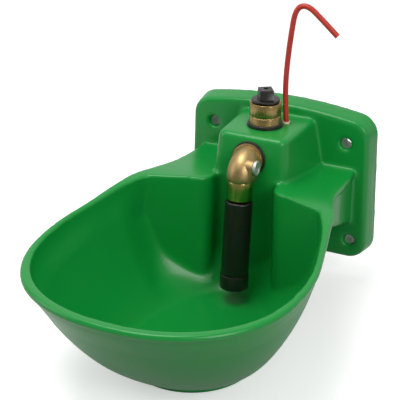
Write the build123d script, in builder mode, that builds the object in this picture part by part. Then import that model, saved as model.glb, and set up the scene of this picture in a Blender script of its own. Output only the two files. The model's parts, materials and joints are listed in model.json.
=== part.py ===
from build123d import *
import os
from math import atan2, copysign, cos, degrees, pi, radians, sin, sqrt, tan

# Wall-mounted drinking bowl for cattle and horses, with a pipe valve and a heated floor.
# Millimetres. X runs along the wall, the wall is the plane Y = 0, the bowl reaches towards -Y, +Z is up.
# The origin is the midpoint of the two upper bolt holes, on the wall.
# A height is measured up from the underside of the foot, and a reach is measured out from the wall.

# ---- driving dimensions ------------------------------------------------------------------------
# wall plate
upper_bolt_height = 138.0
upper_bolt_spacing = 127.4
lower_bolt_height = 45.5
lower_bolt_spacing = 142.8
bolt_hole_diameter = 10.5
bolt_mouth = 1.6
boss_diameter = 21.0
plate_thickness = 20.0
plate_draft = 8.0
plate_half_width_low = 90.0
plate_half_width_high = 86.5
plate_low = 26.0
plate_shoulder = 159.5
plate_crown = 168.5
plate_corner = 19.0
plate_edge = 3.5
plate_rim = 6.0
rib_thickness = 3.0

# moulding
wall = 4.5
panel_round = 16.0
foot_round = 6.0
niche_corner_round = 5.5
rim_outer_round = 2.9
rim_under_round = 2.4

# bowl, from the flat bottom up to the rim
foot_reach = 193.0
bottom_height = 8.0
bottom_radius = 52.0
floor_thickness = 5.0
rim_side = 5.0
swell_power = 1.5
keel_power = 2.6
blunt_power = 2.17
top_height = 125.0
bowl_half_width = 112.2
bowl_front_reach = 336.6
bowl_widest_reach = 231.0
bowl_back_reach = 71.0
keel_reach = 106.0

# rim and deck
rim_half_width = 113.0
rim_front_reach = 337.5
rim_back_reach = 38.0
deck_root_half_width = 73.9
deck_waist_half_width = 79.4
deck_waist_reach = 95.0
deck_waist_round = 120.0
deck_thickness = 6.0
rim_front_height = 107.0
deck_root_height = 115.6
saddle_height = 121.3
saddle_reach = 118.0
rim_level_reach = 290.0
rim_side_height = 109.7
rim_rise_reach = 170.0
rim_rise_height = 114.8
deck_fall_reach = 62.0
deck_fall_height = 116.8

# niche behind the push tube
panel_reach = 103.5
panel_slant = 20.5
niche_half_width = 28.5
niche_reach = 86.0

# valve housing
housing_height = 156.7
housing_front_reach = 81.5
housing_lean = 6.5
housing_half_width_front = 31.5
housing_half_width_back = 34.5
housing_flare_front = 34.0
housing_flare_back = 46.0
housing_low = 108.0
housing_corner = 8.0
housing_edge = 5.0
housing_open_height = 95.0
niche_top_height = 118.0

# skirts under the deck
skirt_root_half_width = 69.5
skirt_mid_half_width = 73.0
skirt_mid_reach = 60.0
skirt_front_half_width = 72.5
skirt_front_reach = 118.0
skirt_low_back = 64.0
skirt_low_front = 98.0

# water manifold and plug
pipe_reach = 50.4
pipe_outer_radius = 13.75
pipe_blend = 1.5
thread_minor_radius = 9.316
thread_major_radius = 10.478
thread_lead = 1.814
socket_depth = 15.0
stub_height = 178.0
stub_groove_height = 165.8
stub_groove = 0.5
socket_height = 96.0
socket_flats = 31.0
socket_flats_length = 14.0
water_way_radius = 7.0
outlet_height = 137.0
outlet_radius = 10.4
outlet_engagement = 6.4
ring_nut_radius = 15.8
ring_nut_length = 5.0
ring_nut_slot = 3.0
front_nut_flats = 29.0
front_nut_length = 6.0
inlet_ring_radius = 15.4
inlet_ring_height = 2.8
plug_engagement = 9.0
plug_flange_radius = 12.3
plug_flange_thickness = 2.0
plug_head_flats = 12.5
plug_head_height = 8.8
plug_head_turn = 34.0
plug_hollow_radius = 6.8
plug_ring_inner = 10.0
plug_ring_outer = 11.4

# valve, measured down its axis from where it crosses the outlet's axis
valve_reach = 15.5
elbow_radius = 12.0
elbow_bore_radius = 8.2
elbow_bend = 13.0
elbow_flange_radius = 13.8
elbow_flange_thickness = 2.4
elbow_ring_radius = 15.2
elbow_ring_thickness = 1.8
collar_start = 15.2
collar_length = 17.2
collar_radius = 11.3
collar_spigot_radius = 9.64
valve_bore_radius = 8.0
retainer_start = 10.6
retainer_thickness = 1.0
retainer_radius = 9.5
stem_radius = 1.4
stem_start = 9.3
spring_radius = 3.4
spring_wire = 0.6
spring_turns = 2.5
stem_flange_radius = 4.4
stem_flange_thickness = 0.8
disc_radius = 5.2
disc_thickness = 2.0
seat_start = 18.2
seat_thickness = 2.3
seat_hole_radius = 3.2
seat_lip = 0.1
stem_plate_radius = 6.0
stem_plate_thickness = 1.2
swivel_depth = 25.9
ball_radius = 7.0
ball_top = 3.0
ball_neck_radius = 4.8
swivel_ring_radius = 7.92
collar_lip = 2.2
collar_mouth_radius = 6.0

# push tube
tube_start = 33.6
tube_end = 113.5
tube_radius = 11.9
tube_bore_radius = 9.5
tube_head_length = 12.0
tube_way_radius = 3.2
tube_top_round = 1.5
tip_length = 13.0
tip_radius = 12.5
tip_lap = 7.0
tip_lap_radius = 10.8

# regulating screw in the elbow's side
screw_down = 2.3
screw_boss_radius = 6.65
screw_boss_reach = 12.2
screw_shank_radius = 2.5
screw_tip = 4.5
screw_head_radius = 6.4
screw_head_rim = 1.7
screw_head_dish = 0.7
screw_head_thickness = 2.5
screw_slot = 1.2
screw_ring_radius = 3.6
screw_ring_depth = 1.4

# heater and its cover under the bowl
cover_radius = 53.0
cover_wall = 2.5
cover_floor = 2.0
cover_edge = 1.2
screw_circle = 46.5
screw_turn = 45.0
cover_boss_radius = 4.8
cover_screw_radius = 1.7
cover_screw_depth = 3.2
cover_head_radius = 3.3
cover_head_height = 1.8
cover_recess = 2.4
heater_height = 5.3
heater_outer = 36.0
heater_inner = 24.0
heater_outer_end = 66.0
heater_inner_end = 60.0
heater_bend = 114.0
pad_thickness = 0.8
pad_radius = 41.0
thermostat_across = 18.0
thermostat_along = 19.0
thermostat_reach = 164.5

# electric lead
lead_diameter = 4.8
lead_across = 14.5
lead_reach = 37.7
grommet_hole_radius = 3.2
grommet_flange_radius = 3.55
grommet_flange = 0.9
lead_back_across = 22.0
lead_back_reach = 78.0
clip_heights = (40.0, 76.0)
clip_width = 5.0
clip_radius = 3.5

fit_gap = 0.06
touch_gap = 0.3

big_face = 10000.0

# ---- derived -------------------------------------------------------------------------------------


bolt_places = [
    (side * spacing / 2, height - upper_bolt_height)
    for spacing, height in ((upper_bolt_spacing, upper_bolt_height), (lower_bolt_spacing, lower_bolt_height))
    for side in (-1, 1)
]


def level(height):
    """Z of a height above the underside of the foot."""
    return height - upper_bolt_height


def out(reach):
    """Y of a reach from the wall."""
    return -reach


def face_reach(height):
    """Reach of the leaning housing front at a height."""
    return housing_front_reach + (housing_height - height) * tan(radians(housing_lean))


def swell(share, power):
    """Share of the growth from bottom size to top size that is reached at a share of the height."""
    return (1 - (1 - share) ** power) ** (1 / power)


def egg(half_width, widest_reach, front_reach, back_reach, count=24):
    """Points of a level outline, starting at the back: blunt in front, half an ellipse behind."""
    points = []
    for i in range(count):
        angle = pi / 2 + 2 * pi * i / count
        across, along = cos(angle), sin(angle)
        if along < 0:
            across = copysign(abs(across) ** (2 / blunt_power), across)
            along = -(abs(along) ** (2 / blunt_power))
            reach = front_reach - widest_reach
        else:
            reach = widest_reach - back_reach
        points.append((half_width * across, out(widest_reach) + reach * along))
    return points


def saddle_points(down):
    """The rim seen from the side: level in front, rising to the shoulders, dipping to the plate."""
    profile = (
        (rim_front_reach + 10, rim_front_height),
        (rim_level_reach, rim_front_height),
        (bowl_widest_reach, rim_side_height),
        (rim_rise_reach, rim_rise_height),
        (saddle_reach, saddle_height),
        (deck_fall_reach, deck_fall_height),
        (0, deck_root_height),
    )
    return [(out(reach), level(height - down)) for reach, height in profile]


def plate_outline(inset):
    """The wall plate seen from the front, moved in from its edge."""
    with BuildSketch() as outline:
        with BuildLine():
            Line((-plate_half_width_low, level(plate_low)), (plate_half_width_low, level(plate_low)))
            Line((plate_half_width_low, level(plate_low)), (plate_half_width_high, level(plate_shoulder)))
            ThreePointArc(
                (plate_half_width_high, level(plate_shoulder)),
                (0, level(plate_crown)),
                (-plate_half_width_high, level(plate_shoulder)),
            )
            Line((-plate_half_width_high, level(plate_shoulder)), (-plate_half_width_low, level(plate_low)))
        make_face()
        fillet(outline.vertices(), plate_corner)
        if inset:
            offset(amount=-inset, mode=Mode.REPLACE)
    return outline.sketch


def is_forward(edge):
    """True for an edge that doesn't lie in the wall plate."""
    return edge.center().Y < out(plate_thickness / 2) - 0.5


def hull(inset, inset_below):
    """The bowl's round form, lofted through level eggs. The insets make the inner form from the outer."""
    bottom = bottom_height + inset_below
    radius = bottom_radius - inset / 3
    with BuildPart() as form:
        for share in (0, 0.02, 0.08, 0.2, 0.42, 0.7, 1):
            grown = swell(share, swell_power)
            widest = foot_reach + (bowl_widest_reach - foot_reach) * grown
            front_low = foot_reach + radius
            front = front_low + (bowl_front_reach - inset - front_low) * grown
            back_low = keel_reach + inset
            back = back_low + (bowl_back_reach + inset - back_low) * swell(share, keel_power)
            half_width = radius + (bowl_half_width - inset - radius) * grown
            with BuildSketch(Plane.XY.offset(level(bottom + (top_height - bottom) * share))):
                with BuildLine():
                    Spline(*egg(half_width, widest, front, back), periodic=True)
                make_face()
        loft()
    return form.part


def back_limit(grown):
    """Everything in front of the rear panels and the niche walls, each moved back by grown."""
    panel = panel_reach - grown * (1 - sin(radians(panel_slant))) / cos(radians(panel_slant))
    half_width = niche_half_width + grown
    far = 2 * rim_front_reach
    panel_far = panel + (far - half_width) * tan(radians(panel_slant))
    with BuildPart() as limit:
        with BuildSketch(Plane.XY.offset(level(0))) as plan:
            with BuildLine():
                Polyline(
                    (-far, out(2 * far)),
                    (far, out(2 * far)),
                    (far, out(panel_far)),
                    (half_width, out(panel)),
                    (half_width, out(niche_reach - grown)),
                    (-half_width, out(niche_reach - grown)),
                    (-half_width, out(panel)),
                    (-far, out(panel_far)),
                    close=True,
                )
            make_face()
            mouth = [v for v in plan.vertices() if abs(abs(v.X) - half_width) < 1 and abs(v.Y - out(panel)) < 1]
            fillet(mouth, panel_round - grown)
        extrude(amount=housing_height)
    return limit.part


# the pipe: the distance along the normal is the height above the foot's underside
pipe_axis = Plane(origin=(0, out(pipe_reach), level(0)))
# the outlet: x along the wall, y up the leaning housing front, z out of it
spout = Plane(
    origin=(0, out(face_reach(outlet_height)), level(outlet_height)),
    x_dir=(1, 0, 0),
    z_dir=(0, -cos(radians(housing_lean)), sin(radians(housing_lean))),
)
# the valve: the normal points up its axis, so a distance down the axis is negative
valve_axis = Plane(origin=spout.from_local_coords((0, 0, valve_reach)), x_dir=(1, 0, 0), z_dir=spout.y_dir)
# the regulating screw: the normal points out of the elbow's side, x points up the valve
screw_axis = Plane(
    origin=spout.from_local_coords((0, -screw_down, valve_reach)), x_dir=spout.y_dir, z_dir=(1, 0, 0)
)
cover_axis = Plane(origin=(0, out(foot_reach), level(0)))

def turned(plane, profile):
    """A turned solid: a profile of (radius, distance along the plane's normal) points, revolved."""
    with BuildPart() as form:
        with BuildSketch(Plane(origin=plane.origin, x_dir=plane.x_dir, z_dir=-plane.y_dir)):
            with BuildLine():
                Polyline(*profile, close=True)
            make_face()
        revolve(axis=Axis(plane.origin, plane.z_dir))
    return form.part


def circle_edges(form, radius):
    """The circular edges of one radius."""
    return form.edges().filter_by(GeomType.CIRCLE).filter_by(lambda e: abs(e.radius - radius) < 0.01)


def ring(plane, inner, outer, start, end):
    """A plain ring about a plane's normal."""
    return turned(plane, ((inner, start), (outer, start), (outer, end), (inner, end)))


def lead_path(points, name):
    """Straight runs joined by tangent arcs as large as the runs allow, the radii printed."""
    vectors = [Vector(*point) for point in points]
    radii = []
    for before, corner, after in zip(vectors, vectors[1:], vectors[2:]):
        run_in, run_out = corner - before, after - corner
        turn = radians(run_in.get_angle(run_out))
        radii.append(0.45 * min(run_in.length, run_out.length) / tan(turn / 2))
    print(name, "radii", [round(radius, 1) for radius in radii])
    return FilletPolyline(*points, radius=radii)


# The space that the water and the push tube take up, cut from the body.
with BuildPart() as water_space:
    add(hull(rim_side, floor_thickness))
    add(back_limit(0), mode=Mode.INTERSECT)
    niche_corners = (
        water_space.edges()
        .filter_by(Axis.Z, tolerance=0.1)
        .filter_by(lambda e: abs(e.center().Y - out(niche_reach)) < 1)
    )
    fillet(niche_corners, niche_corner_round)
    foot_loop = water_space.edges().filter_by(
        lambda e: e.geom_type != GeomType.LINE
        and e.bounding_box().min.Y > out(foot_reach)
        and e.center().Z < level(top_height) - 0.5
    )
    fillet(foot_loop, foot_round)

# The bowl's outer form, as thick all round as the wall, up to the middle of the rim.
with BuildPart() as bowl_outside:
    add(hull(0, 0))
    add(back_limit(wall), mode=Mode.INTERSECT)
    with BuildSketch(Plane.YZ.offset(-rim_front_reach)):
        with BuildLine():
            cut_line = Spline(*saddle_points(deck_thickness / 2), tangents=((1, 0), (1, 0)))
            Polyline(cut_line @ 0, (out(rim_front_reach + 10), level(0)), (0, level(0)), cut_line @ 1)
        make_face()
    extrude(amount=2 * rim_front_reach, mode=Mode.INTERSECT)

# The rim and deck seen from above: the blunt egg of the rim, waisted where it runs back to the plate.
with BuildPart() as rim_band:
    with BuildSketch(Plane.XY.offset(level(0))) as rim_plan:
        with BuildLine():
            Spline(*egg(rim_half_width, bowl_widest_reach, rim_front_reach, rim_back_reach), periodic=True)
        make_face()
        with BuildLine():
            Polyline(
                (-deck_root_half_width, out(plate_thickness / 2)),
                (deck_root_half_width, out(plate_thickness / 2)),
                (deck_waist_half_width + 3, out(deck_waist_reach + 40)),
                (-deck_waist_half_width - 3, out(deck_waist_reach + 40)),
                close=True,
            )
        make_face()
    extrude(amount=housing_height)
    waist = rim_band.edges().filter_by(Axis.Z).filter_by(lambda e: abs(e.center().X) > deck_root_half_width + 0.5)
    fillet(waist, deck_waist_round)
    with BuildSketch(Plane.YZ.offset(-rim_front_reach)):
        with BuildLine():
            top = Spline(*saddle_points(0), tangents=((1, 0), (1, 0)))
            bottom = Spline(*saddle_points(deck_thickness), tangents=((1, 0), (1, 0)))
            Line(top @ 0, bottom @ 0)
            Line(top @ 1, bottom @ 1)
        make_face()
    extrude(amount=2 * rim_front_reach, mode=Mode.INTERSECT)
    under_face, top_face = rim_band.faces().sort_by(SortBy.AREA)[-2:].sort_by(Axis.Z)
    fillet(top_face.edges().filter_by(is_forward), rim_outer_round)
    under_face = rim_band.faces().filter_by(lambda f: f.area > big_face).sort_by(Axis.Z)[0]
    fillet(under_face.edges().filter_by(is_forward), rim_under_round)

# The wall plate: drafted, arched along the top, its edge rounded, hollow at the back round bosses and ribs.
with BuildPart() as plate_form:
    with BuildSketch(Plane.XZ):
        add(plate_outline(0))
    extrude(amount=plate_thickness, taper=plate_draft)
    fillet(plate_form.faces().sort_by(Axis.Y)[0].edges(), plate_edge)
    with BuildSketch(Plane.XZ):
        add(plate_outline(plate_rim))
        with Locations(*bolt_places):
            Circle(boss_diameter / 2, mode=Mode.SUBTRACT)
            Rectangle(plate_half_width_low, rib_thickness, mode=Mode.SUBTRACT)
            Rectangle(rib_thickness, plate_half_width_low, mode=Mode.SUBTRACT)
    extrude(amount=plate_thickness - wall, mode=Mode.SUBTRACT)
    with BuildSketch(Plane.XZ):
        with Locations(*bolt_places):
            Circle(bolt_hole_diameter / 2)
    extrude(amount=plate_thickness, mode=Mode.SUBTRACT)
    mouths = plate_form.edges().filter_by(GeomType.CIRCLE).filter_by(
        lambda e: abs(e.center().Y - out(plate_thickness)) < 0.01 and abs(e.radius - bolt_hole_diameter / 2) < 0.01
    )
    fillet(mouths, bolt_mouth)

# The valve housing on the deck: a box with a level top and a leaning front that flares down to the deck.
with BuildPart() as housing_form:
    for height, half_front, half_back in (
        (housing_height, housing_half_width_front, housing_half_width_back),
        (housing_low, housing_flare_front, housing_flare_back),
    ):
        with BuildSketch(Plane.XY.offset(level(height))):
            with BuildLine():
                Polyline(
                    (-half_back, out(plate_thickness / 2)),
                    (-half_front, out(face_reach(height))),
                    (half_front, out(face_reach(height))),
                    (half_back, out(plate_thickness / 2)),
                    close=True,
                )
            make_face()
    loft(ruled=True)
    uprights = housing_form.edges().filter_by(
        lambda e: e.center().Y < out(housing_front_reach) + 1 and e.length > housing_height - housing_low - 1
        and abs(e.center().X) > niche_half_width
    )
    fillet(uprights, housing_corner)
    fillet(housing_form.faces().sort_by(Axis.Z)[-1].edges().filter_by(is_forward), housing_edge)
    add(water_space.part, mode=Mode.SUBTRACT)

# The hollow of the housing, open at the back and below, with the wall's thickness left all round.
with BuildPart() as housing_hollow:
    for height, front in (
        (housing_open_height, niche_reach - wall),
        (niche_top_height, niche_reach - wall),
        (housing_height - wall, face_reach(housing_height - wall) - wall),
    ):
        share = min((housing_height - height) / (housing_height - housing_low), 1)
        half_front = housing_half_width_front + (housing_flare_front - housing_half_width_front) * share - wall
        half_back = housing_half_width_back + (housing_flare_back - housing_half_width_back) * share - wall
        with BuildSketch(Plane.XY.offset(level(height))):
            with BuildLine():
                Polyline((-half_back, 1), (-half_front, out(front)), (half_front, out(front)), (half_back, 1), close=True)
            make_face()
    loft(ruled=True)

# The skirts that carry the deck between the bowl's back and the plate.
with BuildPart() as skirts_form:
    with BuildSketch(Plane.XY.offset(level(0))):
        with BuildLine():
            skirt_line = Polyline(
                (skirt_root_half_width, out(plate_thickness - wall)),
                (skirt_mid_half_width, out(skirt_mid_reach)),
                (skirt_front_half_width, out(skirt_front_reach)),
            )
            offset(amount=-wall / 2, kind=Kind.INTERSECTION, side=Side.BOTH)
        make_face()
        mirror(about=Plane.YZ)
    extrude(amount=saddle_height)
    with BuildSketch(Plane.YZ.offset(-rim_half_width)):
        with BuildLine():
            skirt_top = Spline(*saddle_points(deck_thickness / 2), tangents=((1, 0), (1, 0)))
            Polyline(
                skirt_top @ 0,
                (out(rim_front_reach + 10), level(skirt_low_front)),
                (out(skirt_front_reach), level(skirt_low_front)),
                (out(plate_thickness), level(skirt_low_back)),
                (0, level(skirt_low_back)),
                skirt_top @ 1,
            )
        make_face()
    extrude(amount=2 * rim_half_width, mode=Mode.INTERSECT)

# The one-piece moulded body.
with BuildPart() as bowl_body:
    add(rim_band)
    add(bowl_outside)
    add(water_space, mode=Mode.SUBTRACT)
    add(plate_form)
    add(skirts_form)
    add(housing_form)
    add(housing_hollow, mode=Mode.SUBTRACT)
    add(
        turned(pipe_axis, (
            (0, housing_height - 2 * wall), (pipe_outer_radius + touch_gap, housing_height - 2 * wall),
            (pipe_outer_radius + touch_gap, housing_height + 1), (0, housing_height + 1),
        )),
        mode=Mode.SUBTRACT,
    )
    with BuildSketch(spout):
        Circle(outlet_radius + touch_gap)
    extrude(amount=-2 * wall, both=True, mode=Mode.SUBTRACT)
    with BuildSketch(Plane.XY.offset(level(housing_height - 2 * wall))):
        with Locations((lead_across, out(lead_reach))):
            Circle(grommet_hole_radius)
    extrude(amount=3 * wall, mode=Mode.SUBTRACT)
    with BuildSketch(cover_axis.offset(bottom_height)):
        with PolarLocations(screw_circle, 4, start_angle=screw_turn):
            Circle(cover_screw_radius + fit_gap)
    extrude(amount=cover_screw_depth, mode=Mode.SUBTRACT)
bowl_body.part.label = "bowl_body"

# ---- water manifold ------------------------------------------------------------------------------
with BuildPart() as pipe_manifold:
    add(ring(pipe_axis, 0, pipe_outer_radius, socket_height, stub_height))
    with BuildSketch(pipe_axis.offset(socket_height)):
        RegularPolygon(socket_flats / 2, 6, major_radius=False, rotation=30)
    extrude(amount=socket_flats_length)
    inner_run = (pipe_reach - face_reach(outlet_height)) / cos(radians(housing_lean))
    with BuildSketch(spout.offset(inner_run)):
        Circle(outlet_radius)
    extrude(amount=outlet_engagement - inner_run)
    joint_line = pipe_manifold.edges().filter_by(
        lambda e: e.geom_type not in (GeomType.CIRCLE, GeomType.LINE) and e.center().Y < out(pipe_reach)
    )
    fillet(joint_line, pipe_blend)
    add(ring(pipe_axis, 0, water_way_radius, socket_height + 1, stub_height - 1), mode=Mode.SUBTRACT)
    add(ring(
        pipe_axis, pipe_outer_radius - stub_groove, pipe_outer_radius + 1,
        stub_groove_height, stub_groove_height + 2 * stub_groove,
    ), mode=Mode.SUBTRACT)
    for mouth, inward in ((stub_height, -1), (socket_height, 1)):
        add(
            turned(pipe_axis, (
                (0, mouth),
                (thread_major_radius, mouth),
                (thread_minor_radius, mouth + inward * (thread_major_radius - thread_minor_radius)),
                (thread_minor_radius, mouth + inward * socket_depth),
                (0, mouth + inward * (socket_depth + 3)),
            )),
            mode=Mode.SUBTRACT,
        )
    with BuildSketch(spout.offset(inner_run)):
        Circle(water_way_radius)
    extrude(amount=outlet_engagement - inner_run, mode=Mode.SUBTRACT)
pipe_manifold.part.label = "pipe_manifold"

with BuildPart() as manifold_nut_top:
    nut_top = housing_height - wall
    add(ring(pipe_axis, pipe_outer_radius + fit_gap, ring_nut_radius, nut_top - ring_nut_length, nut_top))
    with BuildSketch(pipe_axis.offset(nut_top - ring_nut_length)):
        with PolarLocations(ring_nut_radius, 4):
            Rectangle(2.4, ring_nut_slot)
    extrude(amount=ring_nut_length - 2, mode=Mode.SUBTRACT)
manifold_nut_top.part.label = "manifold_nut_top"

front_nut_seat = wall + 2 * fit_gap
with BuildPart() as manifold_nut_front:
    with BuildSketch(spout.offset(-front_nut_seat - front_nut_length)):
        RegularPolygon(front_nut_flats / 2, 6, major_radius=False)
        Circle(outlet_radius + fit_gap, mode=Mode.SUBTRACT)
    extrude(amount=front_nut_length)
    add(
        turned(spout, (
            (0, -front_nut_seat - front_nut_length - 1),
            (front_nut_flats / 2 - 1.1, -front_nut_seat - front_nut_length - 1),
            (front_nut_flats / 2 + 4.5, -front_nut_seat),
            (0, -front_nut_seat),
        )),
        mode=Mode.INTERSECT,
    )
manifold_nut_front.part.label = "manifold_nut_front"

with BuildPart() as inlet_gasket:
    add(ring(
        pipe_axis, pipe_outer_radius + fit_gap, inlet_ring_radius, housing_height, housing_height + inlet_ring_height
    ))
    fillet(circle_edges(inlet_gasket, inlet_ring_radius).sort_by(Axis.Z)[-1], 0.8)
inlet_gasket.part.label = "inlet_gasket"

# ---- blanking plug -------------------------------------------------------------------------------
plug_seat = stub_height + 2 * touch_gap
with BuildPart() as blanking_plug:
    add(turned(pipe_axis, (
        (0, stub_height - plug_engagement),
        (thread_minor_radius - fit_gap - 1, stub_height - plug_engagement),
        (thread_minor_radius - fit_gap, stub_height - plug_engagement + 1),
        (thread_minor_radius - fit_gap, plug_seat),
        (plug_flange_radius, plug_seat),
        (plug_flange_radius, plug_seat + plug_flange_thickness),
        (0, plug_seat + plug_flange_thickness),
    )))
    fillet(circle_edges(blanking_plug, plug_flange_radius).sort_by(Axis.Z)[-1], 0.5)
    with BuildSketch(pipe_axis.offset(plug_seat + plug_flange_thickness)):
        Rectangle(plug_head_flats, plug_head_flats, rotation=plug_head_turn)
    extrude(amount=plug_head_height, taper=2)
    fillet(blanking_plug.faces().sort_by(Axis.Z)[-1].edges(), 0.6)
    with BuildSketch(pipe_axis.offset(plug_seat + plug_flange_thickness + plug_head_height)):
        Circle(2.1)
    extrude(amount=-1.2, mode=Mode.SUBTRACT)
    add(ring(pipe_axis, 0, plug_hollow_radius, stub_height - plug_engagement, stub_height), mode=Mode.SUBTRACT)
    add(ring(
        pipe_axis, plug_ring_inner - touch_gap, plug_ring_outer + touch_gap, plug_seat, plug_seat + 1.3
    ), mode=Mode.SUBTRACT)
blanking_plug.part.label = "blanking_plug"

with BuildPart() as plug_seal:
    add(ring(pipe_axis, plug_ring_inner, plug_ring_outer, stub_height + touch_gap, plug_seat + 1))
    fillet(plug_seal.edges().filter_by(GeomType.CIRCLE), 0.3)
plug_seal.part.label = "plug_seal"

# ---- elbow and valve -----------------------------------------------------------------------------
with BuildPart() as elbow_gasket:
    add(ring(spout, outlet_radius + fit_gap, elbow_ring_radius, 0, elbow_ring_thickness))
    fillet(circle_edges(elbow_gasket, elbow_ring_radius).sort_by(Axis.Y)[0], 0.6)
elbow_gasket.part.label = "elbow_gasket"

with BuildPart() as valve_elbow:
    with BuildLine(Plane(origin=spout.origin, x_dir=spout.z_dir, z_dir=(-1, 0, 0))) as elbow_path:
        entry = Line((elbow_ring_thickness, 0), (valve_reach - elbow_bend, 0))
        bend = JernArc(start=entry @ 1, tangent=entry % 1, radius=elbow_bend, arc_size=-90)
        Line(bend @ 1, (valve_reach, -collar_start))
    with BuildSketch(Plane(origin=elbow_path.line @ 0, x_dir=(1, 0, 0), z_dir=spout.z_dir)):
        Circle(elbow_radius)
    sweep(path=elbow_path.line)
    add(ring(
        spout, 0, elbow_flange_radius, elbow_ring_thickness, elbow_ring_thickness + elbow_flange_thickness
    ))
    with BuildSketch(screw_axis):
        Circle(screw_boss_radius)
        with Locations(((screw_down - collar_start) / 2, 0)):
            Rectangle(collar_start - screw_down, 2 * screw_boss_radius)
    extrude(amount=screw_boss_reach)
    with BuildSketch(Plane(origin=elbow_path.line @ 0, x_dir=(1, 0, 0), z_dir=spout.z_dir)):
        Circle(elbow_bore_radius)
    sweep(path=elbow_path.line, mode=Mode.SUBTRACT)
    add(ring(spout, 0, outlet_radius + fit_gap, 0, outlet_engagement + fit_gap), mode=Mode.SUBTRACT)
    add(ring(
        valve_axis, 0, collar_spigot_radius + fit_gap, -collar_start - 1, -retainer_start
    ), mode=Mode.SUBTRACT)
    add(ring(screw_axis, 0, screw_shank_radius + fit_gap, 0, screw_boss_reach), mode=Mode.SUBTRACT)
    add(ring(
        screw_axis, 0, screw_ring_radius + touch_gap, screw_boss_reach - screw_ring_depth, screw_boss_reach
    ), mode=Mode.SUBTRACT)
valve_elbow.part.label = "valve_elbow"

with BuildPart() as flow_screw:
    head_start = screw_boss_reach + touch_gap
    add(ring(screw_axis, 0, screw_shank_radius, screw_tip, head_start + screw_head_thickness))
    chamfer(circle_edges(flow_screw, screw_shank_radius).sort_by(Axis.X)[0], 1.0)
    add(ring(screw_axis, 0, screw_head_radius, head_start, head_start + screw_head_thickness))
    fillet(circle_edges(flow_screw, screw_head_radius).sort_by(Axis.X)[-1], 0.5)
    with BuildSketch(screw_axis.offset(head_start + screw_head_thickness)):
        Circle(screw_head_radius - screw_head_rim)
    extrude(amount=-screw_head_dish, mode=Mode.SUBTRACT)
    with BuildSketch(screw_axis.offset(head_start + screw_head_thickness - screw_head_dish)):
        Rectangle(2 * (screw_head_radius - screw_head_rim) - 1, screw_slot, rotation=60)
    extrude(amount=-screw_slot, mode=Mode.SUBTRACT)
flow_screw.part.label = "flow_screw"

with BuildPart() as screw_seal:
    ring_start = screw_boss_reach - screw_ring_depth + touch_gap
    add(ring(screw_axis, screw_shank_radius + fit_gap, screw_ring_radius, ring_start, screw_boss_reach))
screw_seal.part.label = "screw_seal"

collar_end = collar_start + collar_length
lip_start = collar_end - collar_lip
with BuildPart() as valve_collar:
    add(turned(valve_axis, (
        (valve_bore_radius, -retainer_start - retainer_thickness),
        (collar_spigot_radius, -retainer_start - retainer_thickness),
        (collar_spigot_radius, -collar_start),
        (collar_radius - 0.5, -collar_start),
        (collar_radius, -collar_start - 0.5),
        (collar_radius, -collar_end + 1.2),
        (collar_radius - 1.2, -collar_end),
        (collar_mouth_radius, -collar_end),
        (collar_mouth_radius, -lip_start),
        (valve_bore_radius, -lip_start),
    )))
valve_collar.part.label = "valve_collar"

with BuildPart() as spring_retainer:
    add(ring(valve_axis, stem_radius + fit_gap, retainer_radius, -retainer_start - retainer_thickness, -retainer_start))
    with BuildSketch(valve_axis.offset(-retainer_start - retainer_thickness)):
        with PolarLocations(6.1, 5):
            Circle(1.9)
    extrude(amount=retainer_thickness, mode=Mode.SUBTRACT)
spring_retainer.part.label = "spring_retainer"

with BuildPart() as valve_seat:
    add(turned(valve_axis, (
        (seat_hole_radius, -seat_start),
        (disc_radius - 1, -seat_start),
        (disc_radius, -seat_start - 1),
        (valve_bore_radius, -seat_start - 1),
        (valve_bore_radius, -seat_start - seat_thickness),
        (seat_hole_radius, -seat_start - seat_thickness),
    )))
valve_seat.part.label = "valve_seat"

disc_start = seat_start - seat_lip - disc_thickness
with BuildPart() as valve_disc:
    add(ring(valve_axis, stem_radius, disc_radius, -disc_start - disc_thickness, -disc_start))
valve_disc.part.label = "valve_disc"

plate_start = swivel_depth - ball_top - touch_gap - stem_plate_thickness
with BuildPart() as valve_stem:
    add(turned(valve_axis, (
        (0, -stem_start),
        (stem_radius, -stem_start),
        (stem_radius, -disc_start + stem_flange_thickness),
        (stem_flange_radius, -disc_start + stem_flange_thickness),
        (stem_flange_radius, -disc_start),
        (stem_radius, -disc_start),
        (stem_radius, -plate_start),
        (stem_plate_radius, -plate_start),
        (stem_plate_radius, -plate_start - stem_plate_thickness),
        (0, -plate_start - stem_plate_thickness),
    )))
valve_stem.part.label = "valve_stem"

spring_top = retainer_start + retainer_thickness + touch_gap / 2 + spring_wire / 2
spring_bottom = disc_start - stem_flange_thickness - touch_gap / 2 - spring_wire / 2
with BuildPart() as valve_spring:
    with BuildLine() as coil:
        Helix(
            pitch=(spring_bottom - spring_top) / spring_turns,
            height=spring_bottom - spring_top,
            radius=spring_radius,
            center=valve_axis.from_local_coords((0, 0, -spring_bottom)),
            direction=valve_axis.z_dir,
        )
    with BuildSketch(Plane(origin=coil.line @ 0, z_dir=coil.line % 0)):
        Circle(spring_wire / 2)
    sweep(path=coil.line, is_frenet=True)
valve_spring.part.label = "valve_spring"

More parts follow.
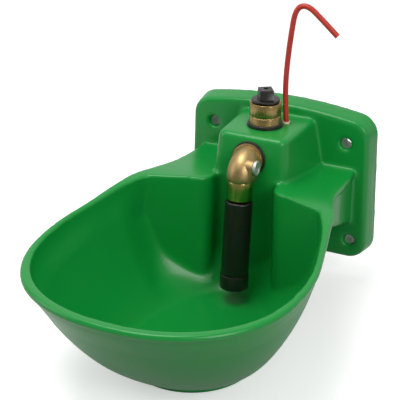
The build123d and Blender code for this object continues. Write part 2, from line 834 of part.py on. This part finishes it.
with BuildPart() as seat_ring:
    with BuildSketch(Plane(origin=valve_axis.origin, x_dir=(1, 0, 0), z_dir=-valve_axis.y_dir)):
        with BuildLine():
            bowl_radius = ball_radius + fit_gap
            ring_low = lip_start - touch_gap - swivel_depth
            inner_low = sqrt(bowl_radius ** 2 - ring_low ** 2)
            middle = radians(degrees(atan2(ring_low, inner_low)) / 2)
            arc = ThreePointArc(
                (bowl_radius, -swivel_depth),
                (bowl_radius * cos(middle), -swivel_depth - bowl_radius * sin(middle)),
                (inner_low, -swivel_depth - ring_low),
            )
            Polyline(
                arc @ 1, (swivel_ring_radius, -swivel_depth - ring_low), (swivel_ring_radius, -swivel_depth), arc @ 0
            )
        make_face()
    revolve(axis=Axis(valve_axis.origin, valve_axis.z_dir))
seat_ring.part.label = "seat_ring"

# ---- push tube -----------------------------------------------------------------------------------
with BuildPart() as tube_head:
    with BuildSketch(Plane(origin=valve_axis.origin, x_dir=(1, 0, 0), z_dir=-valve_axis.y_dir)):
        with BuildLine():
            flat = sqrt(ball_radius ** 2 - ball_top ** 2)
            neck = sqrt(ball_radius ** 2 - ball_neck_radius ** 2)
            arc = ThreePointArc(
                (flat, -swivel_depth + ball_top), (ball_radius, -swivel_depth), (ball_neck_radius, -swivel_depth - neck)
            )
            Polyline(
                arc @ 1,
                (ball_neck_radius, -tube_start),
                (tube_bore_radius - fit_gap, -tube_start),
                (tube_bore_radius - fit_gap, -tube_start - tube_head_length),
                (tube_way_radius, -tube_start - tube_head_length),
                (tube_way_radius, -swivel_depth + ball_top),
                arc @ 0,
            )
        make_face()
    revolve(axis=Axis(valve_axis.origin, valve_axis.z_dir))
tube_head.part.label = "tube_head"

with BuildPart() as push_tube:
    tip_start = tube_end - tip_length
    add(turned(valve_axis, (
        (tube_bore_radius, -tube_start),
        (tube_radius, -tube_start),
        (tube_radius, -tip_start),
        (tip_lap_radius, -tip_start),
        (tip_lap_radius, -tip_start - tip_lap),
        (tube_bore_radius, -tip_start - tip_lap),
    )))
    fillet(circle_edges(push_tube, tube_radius).sort_by(Axis.Z)[-1], tube_top_round)
push_tube.part.label = "push_tube"

with BuildPart() as tube_tip:
    add(turned(valve_axis, (
        (tip_lap_radius + fit_gap, -tip_start),
        (tip_radius - 0.4, -tip_start),
        (tip_radius, -tip_start - 0.4),
        (tip_radius, -tube_end + 0.8),
        (tip_radius - 0.8, -tube_end),
        (tube_bore_radius + 0.8, -tube_end),
        (tube_bore_radius, -tube_end + 0.8),
        (tube_bore_radius, -tip_start - tip_lap - fit_gap),
        (tip_lap_radius + fit_gap, -tip_start - tip_lap - fit_gap),
    )))
tube_tip.part.label = "tube_tip"

# ---- heater, its cover and the lead --------------------------------------------------------------
lead_under = level(heater_height)
lead_top = level(housing_height + grommet_flange)
with BuildPart() as inner_lead:
    with BuildLine() as inner_path:
        lead_path(
            (
                (12.0, out(thermostat_reach - thermostat_along / 2), lead_under),
                (14.0, out(126), lead_under),
                (lead_back_across, out(lead_back_reach), lead_under),
                (lead_back_across, out(lead_back_reach), level(100)),
                (21.5, out(56), level(119)),
                (lead_across, out(lead_reach), level(133)),
                (lead_across, out(lead_reach), lead_top - fit_gap),
            ),
            "inner_lead",
        )
    with BuildSketch(Plane(origin=inner_path.line @ 0, z_dir=(0, 1, 0))):
        Circle(lead_diameter / 2)
    sweep(path=inner_path.line)
inner_lead.part.label = "inner_lead"

with BuildPart() as supply_lead:
    with BuildLine() as supply_path:
        lead_path(
            [
                (across, out(reach), level(height)) for across, reach, height in (
                    (lead_across, lead_reach, housing_height + grommet_flange),
                    (12.6, 37.8, 184),
                    (13.6, 37.2, 211),
                    (16.0, 36.4, 236),
                    (19.0, 35.6, 258.9),
                    (29.3, 35.0, 262.9),
                    (43.4, 34.6, 251.0),
                    (56.8, 34.4, 238.9),
                )
            ],
            "supply_lead",
        )
    with BuildSketch(Plane(origin=supply_path.line @ 0)):
        Circle(lead_diameter / 2)
    sweep(path=supply_path.line)
supply_lead.part.label = "supply_lead"
lead_length = supply_path.wires()[0].length
print("supply_lead length", round(lead_length, 1))
print("volume", round(supply_lead.part.volume), "against", round(lead_length * pi * lead_diameter ** 2 / 4))

lead_exit = Plane(origin=(lead_across, out(lead_reach), level(0)))
with BuildPart() as lead_grommet:
    add(turned(lead_exit, (
        (lead_diameter / 2, housing_height - wall),
        (grommet_hole_radius - fit_gap, housing_height - wall),
        (grommet_hole_radius - fit_gap, housing_height),
        (grommet_flange_radius, housing_height),
        (grommet_flange_radius - 0.3, housing_height + grommet_flange),
        (lead_diameter / 2, housing_height + grommet_flange),
    )))
lead_grommet.part.label = "lead_grommet"

with BuildPart() as lead_clips:
    for height in clip_heights:
        with BuildSketch(Plane.XY.offset(level(height))):
            with Locations((lead_back_across, out(lead_back_reach))):
                Circle(clip_radius)
            with Locations((lead_back_across, out((niche_reach - wall + lead_back_reach) / 2))):
                Rectangle(2 * clip_radius, niche_reach - wall - lead_back_reach)
            with Locations((lead_back_across, out(lead_back_reach))):
                Circle(lead_diameter / 2 + fit_gap, mode=Mode.SUBTRACT)
        extrude(amount=clip_width)
lead_clips.part.label = "lead_clips"

with BuildPart() as heating_coil:
    with BuildLine(cover_axis.offset(heater_height)) as loop:
        outer_arc = CenterArc((0, 0), heater_outer, heater_outer_end, heater_bend - heater_outer_end - 360)
        inner_arc = CenterArc((0, 0), heater_inner, heater_bend, 360 - heater_bend + heater_inner_end)
        turn_middle = (heater_outer + heater_inner) / 2
        turn_round = (heater_outer - heater_inner) / 2
        heading = radians(heater_bend)
        ThreePointArc(
            outer_arc @ 1,
            (
                turn_middle * cos(heading) + turn_round * sin(heading),
                turn_middle * sin(heading) - turn_round * cos(heading),
            ),
            inner_arc @ 0,
        )
    with BuildSketch(Plane(origin=loop.line @ 0, z_dir=loop.line % 0)):
        Circle(lead_diameter / 2)
    sweep(path=loop.line)
heating_coil.part.label = "heating_coil"

with BuildPart() as thermostat:
    with BuildSketch(Plane.XY.offset(level(cover_floor + pad_thickness))):
        with Locations((10.5, out(thermostat_reach))):
            RectangleRounded(thermostat_across, thermostat_along, 2.5)
    extrude(amount=4.9)
    add(heating_coil.part, mode=Mode.SUBTRACT)
thermostat.part.label = "thermostat"

with BuildPart() as insulation_pad:
    add(ring(cover_axis, 0, pad_radius, cover_floor, cover_floor + pad_thickness))
insulation_pad.part.label = "insulation_pad"

with BuildPart() as base_cover:
    add(ring(cover_axis, 0, cover_radius, 0, bottom_height))
    fillet(circle_edges(base_cover, cover_radius).sort_by(Axis.Z)[0], cover_edge)
    add(ring(cover_axis, 0, cover_radius - cover_wall, cover_floor, bottom_height), mode=Mode.SUBTRACT)
    with BuildSketch(cover_axis.offset(cover_floor)):
        with PolarLocations(screw_circle, 4, start_angle=screw_turn):
            Circle(cover_boss_radius)
    extrude(amount=bottom_height - cover_floor)
    with BuildSketch(cover_axis):
        with PolarLocations(screw_circle, 4, start_angle=screw_turn):
            Circle(cover_head_radius + touch_gap)
    extrude(amount=cover_recess, mode=Mode.SUBTRACT)
    with BuildSketch(cover_axis):
        with PolarLocations(screw_circle, 4, start_angle=screw_turn):
            Circle(cover_screw_radius + fit_gap)
    extrude(amount=bottom_height, mode=Mode.SUBTRACT)
    with BuildSketch(cover_axis.offset(cover_floor + pad_thickness)):
        with Locations((13.0, cover_radius - cover_wall)):
            Rectangle(lead_diameter + 2, 4 * cover_wall)
    extrude(amount=bottom_height, mode=Mode.SUBTRACT)
base_cover.part.label = "base_cover"

with BuildPart() as cover_screws:
    with BuildSketch(cover_axis.offset(cover_recess - cover_head_height)):
        with PolarLocations(screw_circle, 4, start_angle=screw_turn):
            Circle(cover_head_radius)
    extrude(amount=cover_head_height)
    with BuildSketch(cover_axis.offset(cover_recess)):
        with PolarLocations(screw_circle, 4, start_angle=screw_turn):
            Circle(cover_screw_radius)
    extrude(amount=bottom_height + cover_screw_depth - cover_recess - touch_gap)
    with BuildSketch(cover_axis.offset(cover_recess - cover_head_height)):
        with PolarLocations(screw_circle, 4, start_angle=screw_turn):
            Rectangle(3.4, 0.8)
            Rectangle(0.8, 3.4)
    extrude(amount=0.9, mode=Mode.SUBTRACT)
cover_screws.part.label = "cover_screws"

os.makedirs("parts", exist_ok=True)
for piece in (
    bowl_body, pipe_manifold, manifold_nut_top, manifold_nut_front, inlet_gasket, blanking_plug, plug_seal,
    elbow_gasket, valve_elbow, flow_screw, screw_seal, valve_collar, spring_retainer, valve_seat, valve_disc,
    valve_stem, valve_spring, seat_ring, tube_head, push_tube, tube_tip, inner_lead, supply_lead, lead_grommet,
    lead_clips, heating_coil, thermostat, insulation_pad, base_cover, cover_screws,
):
    export_step(piece.part, f"parts/{piece.part.label}.step")
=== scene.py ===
import bpy
import bmesh
import json
from math import atan2, copysign, cos, pi, radians, sin
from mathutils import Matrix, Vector
from mathutils.bvhtree import BVHTree


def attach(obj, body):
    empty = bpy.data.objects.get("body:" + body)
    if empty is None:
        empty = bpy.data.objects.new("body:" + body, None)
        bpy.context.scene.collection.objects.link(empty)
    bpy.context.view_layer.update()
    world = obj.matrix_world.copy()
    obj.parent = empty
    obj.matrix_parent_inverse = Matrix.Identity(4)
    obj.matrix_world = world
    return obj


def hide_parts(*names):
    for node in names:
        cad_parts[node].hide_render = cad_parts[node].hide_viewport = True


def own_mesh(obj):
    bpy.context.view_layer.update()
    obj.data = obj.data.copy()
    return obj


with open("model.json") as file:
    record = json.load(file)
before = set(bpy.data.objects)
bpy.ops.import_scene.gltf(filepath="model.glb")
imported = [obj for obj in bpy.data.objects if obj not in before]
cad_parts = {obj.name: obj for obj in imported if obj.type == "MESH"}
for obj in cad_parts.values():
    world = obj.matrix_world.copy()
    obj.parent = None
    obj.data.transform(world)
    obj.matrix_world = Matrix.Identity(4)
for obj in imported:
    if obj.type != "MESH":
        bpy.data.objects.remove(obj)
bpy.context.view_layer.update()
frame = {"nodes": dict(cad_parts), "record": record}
nodes = frame["nodes"]

# ---- sizes shared with the solids, in metres -------------------------------------------------------
FOOT_UNDERSIDE = -0.138


# ---- finishes --------------------------------------------------------------------------------------
class Signal:
    """One output of a finish's nodes. Arithmetic on it adds Math nodes."""

    def __init__(self, finish, socket):
        self.finish = finish
        self.socket = socket

    def math(self, operation, first, second=0.0):
        return self.finish.add("ShaderNodeMath", {"operation": operation}, {0: first, 1: second})

    def __add__(self, other):
        return self.math("ADD", self, other)

    def __sub__(self, other):
        return self.math("SUBTRACT", self, other)

    def __rsub__(self, other):
        return self.math("SUBTRACT", other, self)

    def __mul__(self, other):
        return self.math("MULTIPLY", self, other)

    __radd__ = __add__
    __rmul__ = __mul__

    def clamped(self):
        return self.math("MINIMUM", self.math("MAXIMUM", self, 0.0), 1.0)


class Finish:
    """A material on a Principled surface."""

    def __init__(self, name, **constants):
        self.material = bpy.data.materials.new(name)
        self.material.use_nodes = True
        self.tree = self.material.node_tree
        self.surface = self.tree.nodes["Principled BSDF"]
        self.place = self.add("ShaderNodeTexCoord", output="Object")
        for socket, value in constants.items():
            self.surface.inputs[socket.replace("_", " ")].default_value = value

    def add(self, kind, settings=None, inputs=None, output=0):
        """Adds a node: its settings first, then the values or links of its sockets."""
        node = self.tree.nodes.new(kind)
        for name, value in (settings or {}).items():
            setattr(node, name, value)
        for socket, value in (inputs or {}).items():
            if isinstance(value, Signal):
                self.tree.links.new(value.socket, node.inputs[socket])
            else:
                node.inputs[socket].default_value = value
        return Signal(self, node.outputs[output])

    def noise(self, scale, detail=2.0, roughness=0.5, stretch=None):
        """Noise at a number of cells per metre, from 0 to 1 about 0.5."""
        place = self.place
        if stretch:
            place = self.add("ShaderNodeMapping", None, {"Vector": place, "Scale": stretch})
        return self.add("ShaderNodeTexNoise", None, {
            "Vector": place, "Scale": scale, "Detail": detail, "Roughness": roughness,
        })

    def mix(self, amount, first, second):
        first = (*first, 1) if isinstance(first, tuple) else first
        second = (*second, 1) if isinstance(second, tuple) else second
        sockets = {0: amount, 6: first, 7: second}
        return self.add("ShaderNodeMix", {"data_type": "RGBA"}, sockets, output=2)

    def drive(self, socket, signal):
        self.tree.links.new(signal.socket, self.surface.inputs[socket])

    def wear(self, colour, roughness):
        self.drive("Base Color", colour)
        self.drive("Roughness", roughness)

    def relief(self, height, distance):
        """A bump from a height of 0 to 1 that stands this many metres proud."""
        self.drive("Normal", self.add("ShaderNodeBump", None, {"Height": height, "Distance": distance}))


def moulding(name, deep, pale):
    """Satin moulded plastic: slightly uneven colour and gloss, with a faint orange peel."""
    finish = Finish(name, IOR=1.45)
    cloud = finish.noise(9.0, 3.0)
    speck = finish.noise(900.0, 2.0)
    scuff = (finish.noise(60.0, 6.0, 0.7, (1, 1, 3)) - 0.62).clamped() * 3.0
    finish.wear(
        finish.mix((cloud * 0.8 + speck * 0.2).clamped(), deep, pale),
        (cloud * 0.10 + scuff * 0.25 + 0.25).clamped(),
    )
    finish.relief(finish.noise(420.0, 2.0) * 0.6 + finish.noise(45.0, 1.0) * 0.4, 0.00012)
    return finish.material


def brass(name, dark, bright, smooth, rough, grain, relief):
    """Brass: uneven tarnish, and the grain of its mould or of its turning."""
    finish = Finish(name, Metallic=1.0)
    tarnish = finish.noise(70.0, 4.0, 0.6)
    finish.wear(finish.mix(tarnish, dark, bright), tarnish * (rough - smooth) + smooth)
    finish.relief(grain(finish), relief)
    return finish.material


def sand(finish):
    return finish.noise(1300.0, 4.0, 0.65) * 0.6 + finish.noise(220.0, 2.0) * 0.4


def turned(finish):
    return finish.noise(6000.0, 1.0, 0.5, (0.02, 0.02, 1)) * 0.7 + finish.noise(900.0, 2.0) * 0.3


def dull(name, colour, pale, roughness, scale=500.0, relief=0.0001):
    """Rubber, cord sheath or plain plastic: dust in its pores and a fine tooth."""
    finish = Finish(name)
    dust = (finish.noise(40.0, 5.0, 0.65) - 0.35).clamped()
    finish.wear(finish.mix(dust, colour, pale), dust * 0.25 + roughness)
    finish.relief(finish.noise(scale, 3.0), relief)
    return finish.material


GREEN = moulding("green_moulding", (0.0020, 0.215, 0.028), (0.0035, 0.260, 0.038))
FOOT_GREEN = moulding("foot_moulding", (0.003, 0.26, 0.045), (0.006, 0.31, 0.060))
CAST_BRASS = brass("cast_brass", (0.33, 0.22, 0.09), (0.52, 0.38, 0.175), 0.34, 0.48, sand, 0.00022)
TURNED_BRASS = brass("turned_brass", (0.44, 0.31, 0.09), (0.72, 0.56, 0.21), 0.13, 0.24, turned, 0.00006)
# A darker copy of the turned brass for the manifold stub: its darker colour is painted shade, standing
# in for dark reflections.
DARK_REFLECTION_BRASS = brass("dark_reflection_brass", (0.24, 0.16, 0.055), (0.46, 0.34, 0.14), 0.20, 0.34, turned, 0.00008)
BLACK_RUBBER = dull("black_rubber", (0.008, 0.0075, 0.007), (0.022, 0.021, 0.020), 0.42)
BLACK_PLASTIC = dull("black_plastic", (0.0060, 0.0048, 0.0040), (0.013, 0.010, 0.008), 0.30)
RED_SHEATH = dull("red_sheath", (0.42, 0.020, 0.010), (0.55, 0.044, 0.022), 0.34, 1800.0, 0.00004)
PALE_RING = dull("pale_ring", (0.62, 0.60, 0.36), (0.72, 0.70, 0.50), 0.40)
SILICONE = dull("grey_silicone", (0.45, 0.43, 0.41), (0.58, 0.56, 0.53), 0.55)
FOIL = brass("foil_pad", (0.50, 0.50, 0.50), (0.72, 0.72, 0.72), 0.22, 0.40, sand, 0.0003)
ZINC = brass("zinc_plate", (0.46, 0.46, 0.43), (0.74, 0.74, 0.70), 0.38, 0.52, sand, 0.00012)
STEEL = brass("bright_steel", (0.45, 0.45, 0.46), (0.62, 0.62, 0.63), 0.18, 0.30, turned, 0.00005)

FINISHES = {
    "green_plastic": GREEN,
    "foot_plastic": FOOT_GREEN,
    "cast_brass": CAST_BRASS,
    "turned_brass": TURNED_BRASS,
    "black_rubber": BLACK_RUBBER,
    "black_plastic": BLACK_PLASTIC,
    "red_sheath": RED_SHEATH,
    "pale_plastic": PALE_RING,
    "zinc": ZINC,
    "steel": STEEL,
    "silicone": SILICONE,
    "foil_pad": FOIL,
}


MERGE = 0.00001
EDGE_ANGLE = radians(40)


def finish_solid(node, edge):
    """A solid keeps its shape and gets its finish, smooth faces and a softened edge."""
    solid = nodes[node]
    slot = next(part["material_slot"] for part in frame["record"]["subparts"] if part["node"] == node)
    solid.data.materials.clear()
    solid.data.materials.append(FINISHES[slot])
    solid.data.shade_smooth()
    if edge:
        solid.modifiers.new("weld", "WELD").merge_threshold = MERGE
        soft = solid.modifiers.new("edge", "BEVEL")
        soft.width = edge
        soft.segments = 2
        soft.limit_method = "ANGLE"
        soft.angle_limit = EDGE_ANGLE
        soft.harden_normals = True


EDGES = {
    "pipe_manifold": 0.0004,
    "blanking_plug": 0.0004,
    "valve_elbow": 0.0004,
    "valve_collar": 0.0003,
    "flow_screw": 0.0002,
    "push_tube": 0.0003,
    "tube_tip": 0.0003,
    "base_cover": 0.0005,
}
for node in nodes:
    finish_solid(node, EDGES.get(node, 0))
# The manifold stub gets the darker brass copy, whose colour is painted shade in place of dark
# reflections.
nodes["pipe_manifold"].data.materials[0] = DARK_REFLECTION_BRASS


def copy_of(node, name):
    """A new piece with the merged mesh of a solid."""
    mesh = nodes[node].data.copy()
    mesh.name = name
    form = bmesh.new()
    form.from_mesh(mesh)
    bmesh.ops.remove_doubles(form, verts=form.verts, dist=MERGE)
    form.to_mesh(mesh)
    form.free()
    piece = bpy.data.objects.new(name, mesh)
    bpy.context.scene.collection.objects.link(piece)
    return piece


def settle(piece):
    """Applies a piece's modifiers to its mesh."""
    bpy.context.view_layer.update()
    mesh = bpy.data.meshes.new_from_object(piece.evaluated_get(bpy.context.evaluated_depsgraph_get()))
    piece.modifiers.clear()
    piece.data = mesh


# ---- moulded shell ---------------------------------------------------------------------------------
VOXEL = 0.0012
SOFTENING = 18
KEPT_SHARE = 0.34

# The plate lies on the solid's surface from the wall out to PLATE_REACH - PLATE_BLEND.
PLATE_REACH = 0.016
PLATE_BLEND = 0.008

# The back corners widen by CORNER_GAIN. Each pair is where a change starts or ends, and the length over
# which it comes in or goes.
CORNER_GAIN = 0.013
PANEL_SLOPE = 0.374
CORNER_ACROSS = (0.030, 0.030)
CORNER_BACK = (0.092, 0.010)
CORNER_FRONT = (0.155, 0.040)
CORNER_FOOT = (0.010, 0.020)
CORNER_BROW = (0.116, 0.035)

# The mouth widens by MOUTH_GAIN under the rim, and the rim's shoulders narrow by SHOULDER_LOSS.
MIDDLE_REACH = 0.215
RIM_STEPS = 120
RIM_START = 0.105
LIP_WIDTH = 0.009
LIP_DEPTH = 0.026
LIP_FULL = 1.15
MOUTH_GAIN = 0.0035
MOUTH_START = (0.115, 0.030)
SHOULDER_LOSS = 0.003
SHOULDER_START = (0.115, 0.020)
SHOULDER_END = (0.215, 0.050)
SHOULDER_KEEPS = 0.7


def ease(value):
    """A smooth step from 0 to 1."""
    value = min(max(value, 0.0), 1.0)
    return value * value * (3 - 2 * value)


def rising(value, start):
    """0 up to the start, and 1 past its length."""
    return ease((value - start[0]) / start[1])


def falling(value, end):
    """1 well before the end, and 0 past it."""
    return ease((end[0] - value) / end[1])


def true_plate(piece, node):
    """Lays the wall plate back onto the solid's own surface, so that its edges run true."""
    solid = nodes[node].data
    corners = [vertex.co for vertex in solid.vertices]
    surface = BVHTree.FromPolygons(corners, [face.vertices for face in solid.polygons])
    for point in piece.data.vertices:
        share = falling(-point.co.y, (PLATE_REACH, PLATE_BLEND))
        if share:
            point.co = point.co.lerp(surface.find_nearest(point.co)[0], share)


def square_corners(piece):
    """Widens the back of the bowl at middle height, so that its corners stand nearly upright."""
    for point in piece.data.vertices:
        across, reach, height = abs(point.co.x), -point.co.y, point.co.z - FOOT_UNDERSIDE
        shift = (
            CORNER_GAIN * rising(across, CORNER_ACROSS)
            * rising(reach, CORNER_BACK) * falling(reach, CORNER_FRONT)
            * rising(height, CORNER_FOOT) * falling(height, CORNER_BROW)
        )
        point.co.x += copysign(shift, point.co.x)
        point.co.y -= PANEL_SLOPE * shift


def polar(place):
    """Where a point stands round the bowl, in steps, and its distance from the bowl's middle."""
    away = Vector((place.x, -place.y - MIDDLE_REACH))
    return (atan2(away.x, away.y) / (2 * pi) + 0.5) * RIM_STEPS, away.length


def rim_outline(piece):
    """How far out and how high the rim stands at each step, with the first step repeated at the end."""
    width = [0.0] * RIM_STEPS
    height = [-1.0] * RIM_STEPS
    for point in piece.data.vertices:
        if point.co.y > -RIM_START:
            continue
        turn, distance = polar(point.co)
        step = round(turn) % RIM_STEPS
        width[step] = max(width[step], distance)
        height[step] = max(height[step], point.co.z)
    return width + width[:1], height + height[:1]


def between(levels, turn):
    """The value at a turn between two steps."""
    step = min(int(turn), RIM_STEPS - 1)
    part = turn - step
    return levels[step] * (1 - part) + levels[step + 1] * part


def slim_rim(piece):
    """Moves the wall out under the rim and the rim's shoulders in, so that the lip is slender."""
    width, height = rim_outline(piece)
    for point in piece.data.vertices:
        reach = -point.co.y
        front = rising(reach, MOUTH_START)
        if not front:
            continue
        turn, distance = polar(point.co)
        near_top = ease(LIP_FULL - (between(height, turn) - point.co.z) / LIP_DEPTH)
        inner = ease((between(width, turn) - distance) / LIP_WIDTH)
        shoulder = rising(reach, SHOULDER_START) * falling(reach, SHOULDER_END)
        outward = MOUTH_GAIN * inner * (1 - SHOULDER_KEEPS * shoulder)
        inward = SHOULDER_LOSS * (1 - inner) * shoulder
        shift = front * near_top * (outward - inward)
        away = Vector((point.co.x, point.co.y + MIDDLE_REACH, 0)) / max(distance, 0.001)
        point.co += shift * away


shell = copy_of("bowl_body", "bowl_shell")
remesh = shell.modifiers.new("even", "REMESH")
remesh.mode = "VOXEL"
remesh.voxel_size = VOXEL
soften = shell.modifiers.new("soften", "SMOOTH")
soften.factor = 0.5
soften.iterations = SOFTENING
settle(shell)
true_plate(shell, "bowl_body")
square_corners(shell)
slim_rim(shell)
thin = shell.modifiers.new("thin", "DECIMATE")
thin.ratio = KEPT_SHARE
settle(shell)
shell.data.shade_smooth()
shell.data.materials.clear()
shell.data.materials.append(GREEN)
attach(shell, "bowl")
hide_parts("bowl_body")

# ---- valve spring: a copy with a mesh of its own, carried with the valve ----------------------------
coil = copy_of("valve_spring", "spring_coil")
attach(coil, "valve")
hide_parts("valve_spring")
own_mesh(coil)

# ---- supply lead -----------------------------------------------------------------------------------
ROUTE = (
    (0.0145, 0.0377, 0.1576),
    (0.0126, 0.0378, 0.1840),
    (0.0136, 0.0372, 0.2110),
    (0.0160, 0.0364, 0.2360),
    (0.0190, 0.0356, 0.2589),
    (0.0293, 0.0350, 0.2629),
    (0.0434, 0.0346, 0.2510),
    (0.0568, 0.0344, 0.2389),
)
LEAD_DIAMETER = 0.0048
line = bpy.data.curves.new("supply_cord", "CURVE")
line.dimensions = "3D"
line.bevel_depth = LEAD_DIAMETER / 2
line.bevel_resolution = 6
line.resolution_u = 16
line.use_fill_caps = True
run = line.splines.new("NURBS")
run.points.add(len(ROUTE) - 1)
for point, (across, reach, height) in zip(run.points, ROUTE):
    point.co = (across, -reach, FOOT_UNDERSIDE + height, 1)
run.order_u = 3
run.use_endpoint_u = True
supply_cord = bpy.data.objects.new("supply_cord", line)
bpy.context.scene.collection.objects.link(supply_cord)
line.materials.append(RED_SHEATH)
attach(supply_cord, "bowl")
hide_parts("supply_lead")

# ---- floor, light and camera -----------------------------------------------------------------------
FLOOR_WHITE = 0.8
FLOOR_BOUNCE = 0.28
FLOOR_GLOW = 0.45
FLOOR_SIZE = 4
FLOOR_GAP = 0.0002
EVEN_LIGHT = 0.55
FRONT_REFLECTION = 0.35
BACKDROP_START = -0.5
BACKDROP_FULL = 0.6

# Each lamp: where it stands, where it aims, its size in metres and its watts.
LAMPS = {
    "top_light": ((-0.25, -0.35, 1.25), (0, -0.15, 0), (0.9, 0.7), 12.5),
    "left_light": ((-1.2, -0.7, 0.55), (0, -0.15, -0.02), (0.6, 0.9), 3.5),
    "right_light": ((1.1, -0.9, 0.75), (0, -0.15, -0.02), (0.6, 0.6), 9),
}
CAMERA_PLACE = (0.37588, -0.94025, 0.39209)
CAMERA_DOWN = radians(24.82)
CAMERA_TURN = radians(26.26)


def pale_ground(name, bounce, glow):
    """A plain floor: white to the eye, with a soft shadow, and darker where it lights the object."""
    finish = Finish(name, Roughness=0.9, Specular_IOR_Level=0.0, Emission_Strength=1.0)
    shown = 0.0
    for ray in ("Is Camera Ray", "Is Glossy Ray", "Is Transmission Ray"):
        shown = finish.add("ShaderNodeLightPath", output=ray) + shown
    finish.drive("Base Color", finish.mix(shown.clamped(), (bounce,) * 3, (FLOOR_WHITE,) * 3))
    seen = finish.add("ShaderNodeLightPath", output="Is Camera Ray")
    finish.drive("Emission Color", finish.mix(seen, (0.0,) * 3, (glow,) * 3))
    return finish.material


floor_mesh = bpy.data.meshes.new("floor")
floor_form = bmesh.new()
bmesh.ops.create_grid(floor_form, x_segments=1, y_segments=1, size=FLOOR_SIZE)
bmesh.ops.translate(floor_form, verts=floor_form.verts, vec=(0, 0, FOOT_UNDERSIDE - FLOOR_GAP))
floor_form.to_mesh(floor_mesh)
floor_form.free()
floor = bpy.data.objects.new("floor", floor_mesh)
bpy.context.scene.collection.objects.link(floor)
floor_mesh.materials.append(pale_ground("floor", FLOOR_BOUNCE, FLOOR_GLOW))

world = bpy.data.worlds.new("studio")
world.use_nodes = True
bpy.context.scene.world = world
sky = world.node_tree.nodes
air = world.node_tree.links


def glow(strength):
    shader = sky.new("ShaderNodeBackground")
    shader.inputs["Strength"].default_value = strength
    return shader.outputs[0]


def choose(factor, first, second):
    shader = sky.new("ShaderNodeMixShader")
    for socket, source in zip(shader.inputs, (factor, first, second)):
        air.new(source, socket)
    return shader.outputs[0]


# The air lights evenly, and is white to the eye. Reflections show the white backdrop behind the object.
direction = sky.new("ShaderNodeSeparateXYZ")
air.new(sky.new("ShaderNodeTexCoord").outputs["Generated"], direction.inputs[0])
behind = sky.new("ShaderNodeMapRange")
air.new(direction.outputs["Y"], behind.inputs["Value"])
behind.inputs["From Min"].default_value = BACKDROP_START
behind.inputs["From Max"].default_value = BACKDROP_FULL
ray = sky.new("ShaderNodeLightPath").outputs
white = glow(1.0)
studio = choose(behind.outputs[0], glow(FRONT_REFLECTION), white)
seen = choose(ray["Is Glossy Ray"], glow(EVEN_LIGHT), studio)
for kind in ("Is Transmission Ray", "Is Camera Ray"):
    seen = choose(ray[kind], seen, white)
air.new(seen, sky["World Output"].inputs[0])


def softbox(name, place, aim, size, watts):
    lamp = bpy.data.lights.new(name, "AREA")
    lamp.shape = "RECTANGLE"
    lamp.size, lamp.size_y = size
    lamp.energy = watts
    box = bpy.data.objects.new(name, lamp)
    bpy.context.scene.collection.objects.link(box)
    box.location = place
    box.rotation_euler = (Vector(place) - Vector(aim)).to_track_quat("Z", "Y").to_euler()


for name, settings in LAMPS.items():
    softbox(name, *settings)

camera = bpy.data.cameras.new("camera")
camera.lens = 106.755
camera.sensor_width = 36
viewpoint = bpy.data.objects.new("camera", camera)
bpy.context.scene.collection.objects.link(viewpoint)
viewpoint.location = CAMERA_PLACE
viewpoint.rotation_euler = (pi / 2 - CAMERA_DOWN, 0, CAMERA_TURN)
bpy.context.scene.camera = viewpoint
bpy.context.scene.view_settings.view_transform = "Standard"
